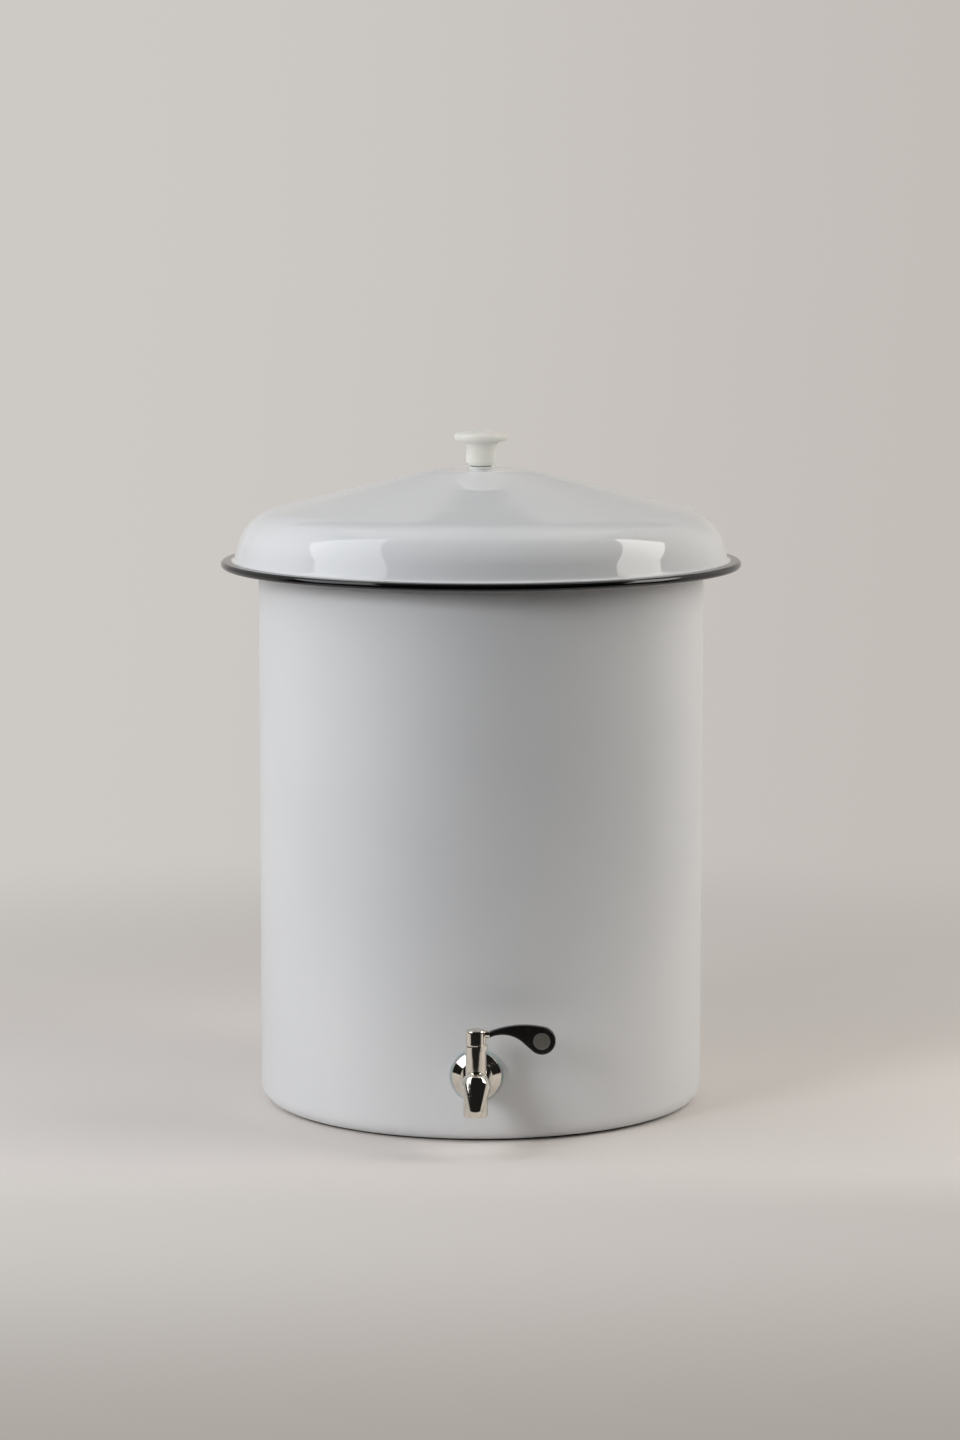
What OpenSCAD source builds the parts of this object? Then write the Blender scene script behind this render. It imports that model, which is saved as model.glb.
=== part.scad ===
// Gravity water filter: an enamelled steel container with a quarter-turn tap low on its front, a fired clay
// filter pot that hangs in its mouth, and a conical enamelled lid with a knob that rests on the pot's rim.
// Millimetres, +Z up, the container's axis on Z, the floor at z = 0, the tap towards -Y.

/* [Container] */
// How far the pot's rim reaches past the container's wall
rim_overhang = 3.6; // [2.4:0.1:6]
// Height of the container's rim above the floor
body_h = 393; // [340:1:440]
// Sheet with its enamel
body_wall = 1.2; // [0.9:0.1:2]
// Outside radius of the bottom corner
body_corner_r = 10; // [3:0.5:12]
// Section diameter of the rolled rim
body_bead_d = 4.4; // [3.4:0.2:6]
// Thickness of the black ring that the container stands on
foot_t = 0.9; // [0.6:0.1:4]
// Width of the black ring
foot_w = 14; // [8:1:24]

/* [Clay filter pot] */
// From the pot's rim out to the foot of the lid's skirt
skirt_gap = 14; // [12:0.5:17]
// Thickness of the rim that hangs on the container
clay_rim_t = 23.6; // [16:0.2:28]
// Rounding of the rim's edges
clay_rim_round = 4; // [2:0.5:6]
// Gap between the pot's side and the container's wall, just under the rim
side_gap = 8.7; // [4:0.1:20]
// How much narrower the pot's radius is at its floor
clay_taper = 26; // [12:1:40]
// Depth of the pot below its rim
clay_drop = 216; // [160:2:230]
// Side wall of the pot
clay_wall = 15; // [10:1:20]
// Floor of the pot
clay_floor = 19; // [12:1:26]
// Outside radius of the pot's bottom corner
clay_corner_r = 26; // [22:1:34]

/* [Lid] */
// Diameter over the lid's rolled rim, which the pot and the container follow
lid_d = 369.6; // [330:0.4:410]
// Sheet with its enamel
lid_sheet = 1.2; // [0.9:0.1:2]
// Section diameter of the rolled rim
lid_bead_d = 5.2; // [4:0.2:7]
// Height of the crown above the middle of the rolled rim
lid_h = 66.8; // [60:0.4:74]
// Slope of the cone
cone_angle = 13.6; // [10:0.2:16]
// Lean of the skirt from upright
skirt_angle = 14.5; // [8:0.5:18]
// Width of the black ledge between the skirt and the middle of the rolled rim
ledge_w = 6.7; // [5.4:0.1:9]
// Radius between the cone and the skirt
shoulder_r = 36; // [28:1:40]
// Radius between the skirt and the ledge
flare_r = 3; // [2:0.5:4]
// Diameter at which the flat crown would meet the cone
crown_d = 67.2; // [60:0.4:80]
// Radius that blends the crown into the cone
crown_r = 60; // [30:2:90]

/* [Knob] */
// Height of the knob
knob_h = 24.9; // [22:0.1:30]
// Widest diameter of the knob
knob_d = 38; // [34:0.5:46]
// Thickness of the knob's round edge
knob_edge = 6.2; // [4.6:0.2:7]
// Diameter of the stem under the round edge
knob_stem_d = 21; // [18:0.2:24]
// Diameter of the knob where it meets the collar
knob_foot_d = 16.8; // [15:0.2:18]
// Diameter of the collar
collar_d = 15.2; // [12:0.2:18]
// Height of the collar
collar_h = 2.5; // [1.5:0.1:5]
// Diameter of the screw under the lid
knob_screw_d = 5; // [4:0.5:6]

/* [Tap on the wall] */
// Height of the tap's shank above the floor
tap_z = 47.5; // [36:0.5:70]
// Diameter of the threaded shank
shank_d = 16; // [14:0.5:18]
// Pitch of the shank's thread
thread_pitch = 1.5; // [1:0.25:2]
// Diameter of the flange
flange_d = 33.8; // [30:0.2:40]
// Diameter of the flange's small end
flange_nose_d = 22.4; // [20.6:0.2:26]
// Thickness of the flange
flange_t = 6; // [4:0.5:9]
// Diameter of the outer gasket
gasket_d = 37.6; // [34:0.2:42]
// Thickness of each gasket at its middle
gasket_t = 2; // [1.2:0.1:3]
// Diameter of the inner gasket and washer
inner_seal_d = 28; // [24:0.5:32]
// Thickness of the inner washer
washer_t = 1.5; // [1:0.1:2.5]
// Nut size across its flats
nut_flats = 24; // [20:0.5:27]
// Thickness of the nut
nut_t = 7; // [5:0.5:9]

/* [Tap body] */
// Diameter of the barrel between the flange and the elbow
barrel_d = 19.2; // [18.4:0.2:19.6]
// Diameter of the elbow's ball
elbow_d = 20.4; // [20:0.2:21]
// Diameter of the ball at the small end of the elbow's nose
nose_d = 9.8; // [9:0.2:10]
// From the shank's axis down to the middle of the nose's small end
nose_drop = 14; // [13:0.2:14]
// From the container wall to the valve's axis
valve_reach = 30; // [26:0.5:34]
// From the valve's axis to the spout's axis
spout_reach = 11; // [10.6:0.1:12]
// From the shank's axis down to the spout's mouth
spout_drop = 19.5; // [19:0.5:23]
// Outside diameter of the spout
spout_d = 16.6; // [15.6:0.2:17]
// Diameter of the spout's passage
spout_bore_d = 10.4; // [8:0.2:10.6]
// Diameter of the water way through the shank
water_d = 8; // [6:0.5:9]
// Diameter of the neck
neck_d = 14; // [13.4:0.1:15]
// Height of the neck's rim above the shank's axis
neck_h = 26.5; // [25:0.5:32]

/* [Valve] */
// Diameter of the valve chamber, where the sleeve sits
chamber_d = 9.8; // [9:0.1:10.2]
// Diameter of the neck's bore above the chamber
neck_bore_d = 11.2; // [10.8:0.1:11.4]
// Wall of the plastic sleeve round the plug
sleeve_wall = 0.95; // [0.7:0.05:1.2]
// Diameter of the plug's water way
port_d = 5.2; // [4:0.1:5.6]
// Height of the sleeve above the shank's axis
sleeve_top = 8.4; // [7:0.1:9]
// Diameter of the stem
stem_d = 6.5; // [5.5:0.1:7]
// Section diameter of the O-rings
oring_section = 1.36; // [1.1:0.02:1.5]
// Height of the gland nut
gland_t = 6; // [4.5:0.5:7]
// Running clearance of the plug and its stem, on the radius
running_gap = 0.05; // [0.02:0.01:0.1]

/* [Lever] */
// Height of the cap
cap_h = 11; // [10:0.1:13]
// Diameter of the cap at its lower edge
cap_d = 14; // [13.4:0.1:14.8]
// Quarter turn of the lever
lever_swing = 90; // [80:5:90]
// Reach of the lever from the valve's axis to its round tip
lever_reach = 54; // [47:0.5:60]
// Radius of the lever's round end
paddle_r = 9.4; // [8:0.2:10.4]
// Thickness of the lever
lever_t = 6; // [5:0.2:7.2]
// Diameter of the plain disc in the lever's round end
disc_d = 11.6; // [9:0.2:13]
// Diameter of the stud that carries the lever
stud_d = 2.4; // [2:0.1:2.6]

/* [Fits] */
// Gap between faces that only touch
seat_gap = 0.3; // [0.1:0.05:0.5]
// Gap round a screw, a shank or a seal that is held still
still_gap = 0.05; // [0.02:0.01:0.15]

/* [Hidden] */
$fn = 96;
fine_fn = 1440;                                   // facets of the large cylinders that shape the gaskets
cut = 1;                                          // how far a cutter runs past the face it cuts
// The diameters run inwards from the lid: its skirt, the pot's rim, the container's wall, the pot's side.
lid_bead_r = lid_bead_d / 2;
lid_bead_cr = lid_d / 2 - lid_bead_r;
skirt_r = lid_bead_cr - ledge_w;
clay_rim_r = skirt_r - skirt_gap;
body_r = clay_rim_r - rim_overhang;
inner_r = body_r - body_wall;
clay_top_r = inner_r - side_gap;
clay_low_r = clay_top_r - clay_taper;

bead_r = body_bead_d / 2;
base_z = foot_t;
body_bead_cr = body_r + bead_r - body_wall;       // radius of the rolled rim's centre line
body_bead_z = body_h - bead_r;
foot_r = body_r - body_corner_r + seat_gap;

clay_rim_z = body_h + seat_gap;                   // underside of the pot's rim
clay_top_z = clay_rim_z + clay_rim_t;
clay_low_z = clay_rim_z - clay_drop;
clay_lean = atan2(clay_taper, clay_drop);
clay_corner_fill = 6;                             // extra clay in the pot's inner corner

// The lid is drawn from the middle of its rolled rim upwards, then set down on the pot's rim.
ledge_z = lid_bead_r;
bead_tuck = 180 + asin((lid_bead_r - lid_sheet) / lid_bead_r);   // where the bead meets the ledge's underside
crown_in_r = crown_d / 2;
cone_rise = lid_h + crown_in_r * tan(cone_angle);
corner_in_r = (skirt_r - (cone_rise - ledge_z) * tan(skirt_angle))
    / (1 - tan(cone_angle) * tan(skirt_angle));
corner_z = cone_rise - corner_in_r * tan(cone_angle);
shoulder_turn = 90 - skirt_angle - cone_angle;
shoulder_run = shoulder_r * tan(shoulder_turn / 2);
shoulder_c = [corner_in_r - shoulder_run * cos(cone_angle) - shoulder_r * sin(cone_angle),
              corner_z + shoulder_run * sin(cone_angle) - shoulder_r * cos(cone_angle)];
crown_c = [crown_in_r - crown_r * tan(cone_angle / 2), lid_h - crown_r];
flare_c = [skirt_r + flare_r * tan((90 - skirt_angle) / 2), ledge_z + flare_r];

// Where the shoulder's underside meets the rounded edge of the pot's rim.
rim_round_r = clay_rim_r - clay_rim_round;
rim_round_z = clay_top_z - clay_rim_round;
seat_reach = shoulder_r - lid_sheet - seat_gap - clay_rim_round;
lid_z = rim_round_z - sqrt(pow(seat_reach, 2) - pow(rim_round_r - shoulder_c.x, 2)) - shoulder_c.y;
crown_top = lid_z + lid_h;

knob_z = crown_top + collar_h;
knob_r = knob_d / 2;
knob_edge_r = knob_edge / 2;
knob_foot_chamfer = 0.4;
knob_dome_h = 1.6;                                // rise of the knob's slightly domed top
knob_edge_z = knob_h - knob_dome_h - knob_edge_r;
knob_edge_from = -50;                             // the round edge starts and ends at these angles
knob_edge_to = 76;
knob_top_r = 0.45 * knob_r;                       // the dome is nearly flat inside this radius
knob_top_z = knob_h - 0.15 * knob_dome_h;
swell_r = 3.2;                                    // rounding between the foot and the stem
swell_from = -34;
throat_z = 0.42 * knob_h;                         // where the stem starts to flare
throat_r = 1.25 * (knob_edge_z - knob_edge_r - throat_z);
throat_to = 138;
insert_d = 8;
insert_l = 12;
knurl_depth = 0.4;                                // three raised bands hold the insert in the knob
knurl_h = 2.4;
knurl_pitch = 3.8;
knurl_low = 0.8;
screw_grip = 9;                                   // length of screw inside the brass insert
screw_head_d = 9.6;
screw_head_h = 3;
screw_edge = 1.2;                                 // chamfer round the screw's head
screw_edge_h = 1;
screw_slot = [5.2, 1, 1.5];
knob_washer_d = 15;
knob_washer_t = 1.2;

// Along the shank's axis, distances run outwards from the container wall.
shank_r = shank_d / 2;
gasket_sag = body_r - sqrt(pow(body_r, 2) - pow(gasket_d / 2, 2));
seal_sag = inner_r - sqrt(pow(inner_r, 2) - pow(inner_seal_d / 2, 2));
flange_back = gasket_t;
flange_front = flange_back + flange_t;
inner_gasket_in = -body_wall - gasket_t - seal_sag;
washer_in = inner_gasket_in - washer_t;
nut_in = washer_in - nut_t;
shank_in = nut_in - 2 * thread_pitch;
thread_depth = 0.5 * thread_pitch;
flange_rim = 1.4;                                 // straight edge of the flange before its cone
flange_chamfer = 0.5;
washer_inset = 0.5;                               // how far the washer stays inside the gasket's edge
nut_chamfer = 0.4;                                // the nut's corners are turned down and chamfered
nut_chamfer_h = 1.2;
nut_corner = 1.6;

barrel_r = barrel_d / 2;
spout_at = valve_reach + spout_reach;
spout_r = spout_d / 2;
elbow_r = elbow_d / 2;
elbow_at = spout_at - 5;                          // the ball sits between the valve and the spout
nose_r = nose_d / 2;
nose_reach = 8.4;                                 // from the spout's axis out to the nose's small end
nose_l = norm([spout_at + nose_reach - elbow_at, nose_drop]);
nose_cone = asin((elbow_r - nose_r) / nose_l);    // slope of the cone that touches both balls
nose_tilt = atan2(spout_at + nose_reach - elbow_at, nose_drop);    // from straight down
dome_drop = 8.5;                                  // the spout's round top is centred this far down
spout_lip = 0.8;                                  // chamfer round the spout's mouth
spout_bore_r = spout_bore_d / 2;
passage_side = -3;                                // the passage's roof slopes up from here at 45 degrees
passage_roof_r = 0.3 * spout_bore_r;
passage_roof = passage_side + spout_bore_r - passage_roof_r;
neck_r = neck_d / 2;
stop_depth = 2.6;                                 // depth of the quarter-turn notch in the neck's rim
stop_wall_in = 0.15;
notch_r = neck_bore_d / 2 + stop_wall_in;
stop_lug_angle = 24;                              // width of the cap's stop lug
stop_lead = 25;                                   // the lug's lead ahead of the lever
stop_play = 1;                                    // play at each end of the notch, in degrees
lug_inset = 0.2;                                  // the lug stays inside the cap's edge
lug_root = 1.4;                                   // how far the lug reaches up into the cap

chamber_r = chamber_d / 2;
chamber_floor = -6;
neck_bore_r = neck_bore_d / 2;
step_play = 0.1;                                  // end play of the sleeve and of the thrust washer
ledge_top = sleeve_top + step_play;               // step between the chamber and the neck's bore
sleeve_r = chamber_r - still_gap;
plug_r = sleeve_r - sleeve_wall - running_gap;
collar_low = ledge_top + seat_gap;
oring_play = 0.5;
groove_w = oring_section + oring_play;
land = 1.3;                                       // plug collar between and beside the O-ring grooves
plug_collar_h = 2 * groove_w + 3 * land;
plug_collar_r = neck_bore_r - 2 * running_gap;
oring_r = oring_section / 2;
oring_cr = neck_bore_r - running_gap - oring_r;
groove_r = oring_cr - oring_r;
thrust_low = collar_low + plug_collar_h + step_play;
thrust_t = 0.8;
gland_low = thrust_low + thrust_t;
gland_top = gland_low + gland_t;
gland_slot_w = 1.6;
gland_slot_h = 1.4;
stem_r = stem_d / 2;

cap_gap = 0.4;                                    // gap between the neck's rim and the cap
cap_low = neck_h + cap_gap;
cap_top = cap_low + cap_h;
cap_r = cap_d / 2;
cap_taper = 0.25;
cap_top_r = cap_r - cap_taper;
cap_round = 1.8;                                  // rounding of the cap's top edge
cap_edge = 1;                                     // rounding of its lower edge
cap_roof = 3.1;                                   // metal over the stem's socket
socket_top = cap_top - cap_roof;
flat_depth = 0.55;                                // flat on the stem, where the grub screw bears
flat_y = stem_r - flat_depth;
grub_d = 3;
grub_z = cap_low + 0.42 * cap_h;
grub_l = cap_top_r - flat_y - 0.4;                // the screw ends a little inside the cap's side
grub_key = 1.7;                                   // six-sided socket in the screw
grub_key_h = 1.2;

// Outline of the lever in the plane of its blade: x from the valve's axis, y from the shank's axis.
arm_root_x = 9.3;
arm_root_mid = cap_top - 3.25;                    // middle of the arm where it leaves the cap
boss_r = 2.5;
boss_end = arm_root_x - 0.2;
arm_tilt = 16;                                    // climb of the arm where it leaves the cap
paddle_drop = 4.1;                                // the round end hangs lower than the arm's root
paddle_c = [lever_reach - paddle_r, arm_root_mid - paddle_drop];
crest_r = 64.4;                                   // long curve of the upper edge
crest_x = lever_reach - 21;
crest_c = [crest_x, paddle_c.y - sqrt(pow(crest_r - paddle_r, 2) - pow(paddle_c.x - crest_x, 2))];
hollow_x = arm_root_x + 8.8;
hollow_rise = 0.05;                               // top of the hollow over the middle of the arm's root
hollow_fall = paddle_drop + hollow_rise;
hollow_reach = paddle_r + 1.447615;               // from the hollow's curve to the middle of the round end
// Radius of the hollow in the lower edge, from its top and its distance to the round end.
hollow_r = (pow(paddle_c.x - hollow_x, 2) + pow(hollow_fall, 2) - pow(hollow_reach, 2))
    / (2 * (hollow_fall + hollow_reach));
hollow_c = [hollow_x, arm_root_mid + hollow_rise - hollow_r];
link = paddle_c - hollow_c;
link_angle = atan2(link.y, link.x) + acos((hollow_r + paddle_r) / norm(link));
crest_dir = (paddle_c - crest_c) / norm(paddle_c - crest_c);
stud_start = 3.6;
stud_l = 15;
disc_t = 1.2;
disc_proud = 0.2;

container_colour = [0.86, 0.87, 0.87];
black = [0.03, 0.03, 0.03];
clay_colour = [0.72, 0.42, 0.28];
cream = [0.88, 0.87, 0.82];
steel = [0.72, 0.71, 0.68];
brass = [0.78, 0.62, 0.32];
silicone = [0.80, 0.85, 0.86];
ptfe = [0.95, 0.95, 0.94];

function arc(c, r, from, to, steps = 16) =
    [for (i = [0:steps]) let (a = from + (to - from) * i / steps) c + r * [cos(a), sin(a)]];
function backwards(list) = [for (i = [len(list) - 1:-1:0]) list[i]];
// Surface of the lid from its middle to the ledge, moved inwards by the given depth.
function lid_line(depth) = concat(
    [[0, lid_h - depth]],
    arc(crown_c, crown_r - depth, 90, 90 - cone_angle, 6),
    arc(shoulder_c, shoulder_r - depth, 90 - cone_angle, skirt_angle, 20),
    arc(flare_c, flare_r + depth, 180 + skirt_angle, 270, 8));

module at_shank() translate([0, -body_r, tap_z]) rotate([90, 0, 0]) children();
module at_valve() translate([0, -body_r - valve_reach, tap_z]) children();
module at_spout() translate([0, -body_r - spout_at, tap_z]) children();
module at_knob() translate([0, 0, knob_z]) children();

module ring(r_out, r_in, h) {
    difference() {
        cylinder(r = r_out, h = h);
        translate([0, 0, -cut]) cylinder(r = r_in, h = h + 2 * cut);
    }
}

// A sector of a ring, centred on the given angle.
module sector(r_out, r_in, h, middle, width) {
    rotate([0, 0, middle - width / 2])
        rotate_extrude(angle = width) translate([r_in, 0]) square([r_out - r_in, h]);
}

module container_shell() {
    color(container_colour) difference() {
        rotate_extrude() {
            polygon(concat(
                [[0, base_z]],
                arc([body_r - body_corner_r, base_z + body_corner_r], body_corner_r, -90, 0, 8),
                [[body_r, body_bead_z], [inner_r, body_bead_z]],
                backwards(arc([body_r - body_corner_r, base_z + body_corner_r],
                              body_corner_r - body_wall, -90, 0, 8)),
                [[0, base_z + body_wall]]));
            translate([body_bead_cr, body_bead_z]) circle(r = bead_r);
        }
        at_shank() translate([0, 0, -body_wall - gasket_t])
            cylinder(r = shank_r + seat_gap, h = body_wall + 2 * gasket_t);
    }
}

module foot_ring() {
    color(black) ring(foot_r, foot_r - foot_w, foot_t);
}

module clay_filter() {
    rim_in_r = clay_top_r - clay_wall;
    lean = tan(clay_lean);
    corner_c = [clay_low_r + clay_corner_r * lean - clay_corner_r / cos(clay_lean),
                clay_low_z + clay_corner_r];
    in_corner_r = clay_corner_r - clay_wall + clay_corner_fill;
    in_corner_z = clay_low_z + clay_floor + in_corner_r;
    in_low_r = clay_low_r - clay_wall + (in_corner_z - clay_low_z) * lean;
    color(clay_colour) rotate_extrude() polygon(concat(
        [[0, clay_low_z]],
        arc(corner_c, clay_corner_r, -90, -clay_lean, 10),
        [[clay_top_r, clay_rim_z]],
        arc([rim_round_r, clay_rim_z + clay_rim_round], clay_rim_round, -90, 0, 6),
        arc([rim_round_r, rim_round_z], clay_rim_round, 0, 90, 6),
        arc([rim_in_r + clay_rim_round, rim_round_z], clay_rim_round, 90, 180, 6),
        [[rim_in_r, clay_rim_z]],
        backwards(arc([in_low_r - in_corner_r / cos(clay_lean), in_corner_z], in_corner_r,
                      -90, -clay_lean, 10)),
        [[0, clay_low_z + clay_floor]]));
}

module lid_shell() {
    color(container_colour) translate([0, 0, lid_z]) difference() {
        rotate_extrude() polygon(concat(
            lid_line(0),
            arc([lid_bead_cr, 0], lid_bead_r, 90, -bead_tuck, 24),
            backwards(lid_line(lid_sheet))));
        translate([0, 0, lid_h - lid_sheet - cut])
            cylinder(d = knob_screw_d + 2 * seat_gap, h = lid_sheet + 2 * cut);
    }
}

module knob_collar() {
    color(container_colour) translate([0, 0, crown_top])
        ring(collar_d / 2, knob_screw_d / 2 + seat_gap, collar_h);
}

module lid_knob() {
    half_stem = knob_stem_d / 2;
    color(cream) at_knob() difference() {
        rotate_extrude() polygon(concat(
            [[0, 0], [knob_foot_d / 2 - knob_foot_chamfer, 0], [knob_foot_d / 2, knob_foot_chamfer]],
            arc([half_stem - swell_r, swell_r], swell_r, swell_from, 0, 5),
            arc([half_stem + throat_r, throat_z], throat_r, 180, throat_to, 8),
            arc([knob_r - knob_edge_r, knob_edge_z], knob_edge_r, knob_edge_from, knob_edge_to, 10),
            [[knob_top_r, knob_top_z], [0, knob_h]]));
        translate([0, 0, -cut]) cylinder(d = insert_d + 2 * still_gap, h = insert_l + cut + still_gap);
    }
}

module knob_insert() {
    color(brass) at_knob() {
        ring(insert_d / 2 - knurl_depth, knob_screw_d / 2 + still_gap, insert_l);
        for (z = [knurl_low : knurl_pitch : insert_l - knurl_h])
            translate([0, 0, z]) ring(insert_d / 2, knob_screw_d / 2 + still_gap, knurl_h);
    }
}

module knob_washer() {
    color(steel) translate([0, 0, crown_top - lid_sheet - knob_washer_t])
        ring(knob_washer_d / 2, knob_screw_d / 2 + seat_gap, knob_washer_t);
}

module knob_screw() {
    head_top = crown_top - lid_sheet - knob_washer_t;
    head_r = screw_head_d / 2;
    color(steel) translate([0, 0, head_top]) difference() {
        rotate_extrude() polygon([
            [0, -screw_head_h], [head_r - screw_edge, -screw_head_h], [head_r, screw_edge_h - screw_head_h],
            [head_r, 0], [knob_screw_d / 2, 0], [knob_screw_d / 2, knob_z + screw_grip - head_top],
            [0, knob_z + screw_grip - head_top]]);
        for (turn = [0, 90]) rotate([0, 0, turn])
            translate([-screw_slot.x / 2, -screw_slot.y / 2, -screw_head_h - cut])
                cube(screw_slot + [0, 0, cut]);
    }
}

module tap_body() {
    color(steel) difference() {
        union() {
            at_shank() {
                rotate_extrude() polygon(concat(
                    [[0, shank_in], [shank_r - thread_depth, shank_in]],
                    [for (z = [shank_in + thread_pitch : thread_pitch : -body_wall])
                        each [[shank_r, z], [shank_r - thread_depth, z + thread_pitch / 2]]],
                    [[shank_r, 0], [shank_r, flange_front], [0, flange_front]]));
                translate([0, 0, flange_front]) cylinder(r = barrel_r, h = elbow_at - flange_front);
            }
            translate([0, -body_r - elbow_at, tap_z]) rotate([180 - nose_tilt, 0, 0])
                rotate_extrude() polygon(concat(
                    arc([0, 0], elbow_r, -90, nose_cone, 18),
                    arc([0, nose_l], nose_r, nose_cone, 90, 10)));
            at_spout() rotate_extrude() polygon(concat(
                arc([0, -dome_drop], spout_r, 90, 0, 12),
                [[spout_r, spout_lip - spout_drop], [spout_r - spout_lip, -spout_drop], [0, -spout_drop]]));
            at_valve() cylinder(r = neck_r, h = neck_h);
        }
        at_shank() translate([0, 0, shank_in - cut])
            cylinder(d = water_d, h = spout_at - shank_in + cut);
        at_spout() rotate_extrude() polygon([
            [0, -spout_drop - cut], [spout_bore_r, -spout_drop - cut], [spout_bore_r, passage_side],
            [passage_roof_r, passage_roof], [0, passage_roof]]);
        at_valve() {
            translate([0, 0, chamber_floor]) cylinder(r = chamber_r, h = neck_h);
            translate([0, 0, ledge_top]) cylinder(r = neck_bore_r, h = neck_h);
            translate([0, 0, neck_h - stop_depth])
                sector(neck_r + cut, neck_bore_r - stop_wall_in, stop_depth + cut,
                       stop_lead - lever_swing / 2,
                       lever_swing + stop_lug_angle + 2 * stop_play);
        }
    }
}

module tap_flange() {
    color(steel) at_shank() difference() {
        rotate_extrude() polygon([
            [0, flange_back], [flange_d / 2, flange_back], [flange_d / 2, flange_back + flange_rim],
            [flange_nose_d / 2, flange_front - flange_chamfer],
            [flange_nose_d / 2 - flange_chamfer, flange_front],
            [0, flange_front]]);
        cylinder(r = shank_r + still_gap, h = flange_front + cut);
    }
}

module outer_gasket() {
    color(silicone) difference() {
        at_shank() translate([0, 0, -gasket_sag - cut])
            ring(gasket_d / 2, shank_r + still_gap, gasket_sag + cut + gasket_t);
        translate([0, 0, tap_z - gasket_d]) cylinder(r = body_r, h = 2 * gasket_d, $fn = fine_fn);
    }
}

module inner_gasket() {
    color(silicone) intersection() {
        at_shank() translate([0, 0, inner_gasket_in])
            ring(inner_seal_d / 2, shank_r + still_gap, -inner_gasket_in);
        translate([0, 0, tap_z - inner_seal_d]) cylinder(r = inner_r, h = 2 * inner_seal_d, $fn = fine_fn);
    }
}

module inner_washer() {
    color(steel) at_shank() translate([0, 0, washer_in])
        ring(inner_seal_d / 2 - washer_inset, shank_r + still_gap, washer_t);
}

module tap_nut() {
    color(steel) at_shank() translate([0, 0, nut_in]) difference() {
        intersection() {
            cylinder(d = nut_flats / cos(30), h = nut_t, $fn = 6);
            rotate_extrude() polygon([
                [0, 0], [nut_flats / 2 - nut_chamfer, 0], [nut_flats / 2 + nut_corner, nut_chamfer_h],
                [nut_flats / 2 + nut_corner, nut_t], [0, nut_t]]);
        }
        translate([0, 0, -cut]) cylinder(r = shank_r + still_gap, h = nut_t + 2 * cut);
    }
}

module valve_sleeve() {
    color(ptfe) at_valve() difference() {
        translate([0, 0, chamber_floor]) ring(sleeve_r, sleeve_r - sleeve_wall, sleeve_top - chamber_floor);
        rotate([90, 0, 0]) cylinder(d = port_d, h = chamber_d + 2 * cut, center = true);
    }
}

module valve_plug() {
    plug_low = chamber_floor + seat_gap;
    color(steel) at_valve() difference() {
        union() {
            translate([0, 0, plug_low]) cylinder(r = plug_r, h = collar_low - plug_low);
            translate([0, 0, collar_low]) cylinder(r = plug_collar_r, h = plug_collar_h);
            translate([0, 0, collar_low]) cylinder(r = stem_r, h = socket_top - seat_gap - collar_low);
        }
        rotate([0, 90, 0]) cylinder(d = port_d, h = chamber_d + 2 * cut, center = true);
        for (i = [0, 1]) translate([0, 0, collar_low + land + i * (groove_w + land)])
            ring(plug_collar_r + cut, groove_r, groove_w);
        translate([-stem_r, flat_y, cap_low + seat_gap]) cube([stem_d, stem_r, cap_h]);
    }
}

module plug_o_rings() {
    color(black) at_valve() for (i = [0, 1])
        translate([0, 0, collar_low + land + groove_w / 2 + i * (groove_w + land)])
            rotate_extrude() translate([oring_cr, 0]) circle(r = oring_r, $fn = 32);
}

module thrust_washer() {
    color(ptfe) at_valve() translate([0, 0, thrust_low])
        ring(neck_bore_r - still_gap, stem_r + running_gap, thrust_t);
}

module gland_nut() {
    color(brass) at_valve() difference() {
        translate([0, 0, gland_low]) ring(neck_bore_r - still_gap, stem_r + running_gap, gland_t);
        for (turn = [45, 135]) rotate([0, 0, turn])
            translate([-neck_r, -gland_slot_w / 2, gland_top - gland_slot_h])
                cube([neck_d, gland_slot_w, gland_slot_h + cut]);
    }
}

module handle_cap() {
    color(steel) at_valve() difference() {
        union() {
            rotate_extrude() polygon(concat(
                [[0, cap_low]],
                arc([cap_r - cap_edge, cap_low + cap_edge], cap_edge, -90, 0, 5),
                arc([cap_top_r - cap_round, cap_top - cap_round], cap_round, 0, 90, 6),
                [[0, cap_top]]));
            translate([0, 0, arm_root_mid]) rotate([0, 90, 0]) cylinder(r = boss_r, h = boss_end);
            translate([0, 0, neck_h - stop_depth + seat_gap])
                sector(cap_r - lug_inset, notch_r, stop_depth + lug_root, stop_lead, stop_lug_angle);
        }
        difference() {
            translate([0, 0, cap_low - cut]) cylinder(r = stem_r + still_gap, h = socket_top - cap_low + cut);
            translate([-stem_d, flat_y + still_gap, cap_low + seat_gap]) cube([2 * stem_d, stem_d, cap_h]);
        }
        translate([0, flat_y, grub_z]) rotate([-90, 0, 0]) cylinder(d = grub_d + 2 * still_gap, h = cap_d);
        stud_place() cylinder(d = stud_d + 2 * still_gap, h = stud_l);
    }
}

module cap_grub_screw() {
    color(steel) at_valve() translate([0, flat_y + still_gap, grub_z]) rotate([-90, 0, 0]) difference() {
        cylinder(d = grub_d, h = grub_l);
        translate([0, 0, grub_l - grub_key_h]) cylinder(d = grub_key, h = grub_key_h + cut, $fn = 6);
    }
}

// The stud starts in the cap and climbs along the arm of the lever.
module stud_place() {
    translate([stud_start, 0, arm_root_mid - (arm_root_x - stud_start) * tan(arm_tilt)])
        rotate([0, 90 - arm_tilt, 0]) children();
}

module lever_stud() {
    color(steel) at_valve() stud_place() cylinder(d = stud_d, h = stud_l);
}

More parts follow.
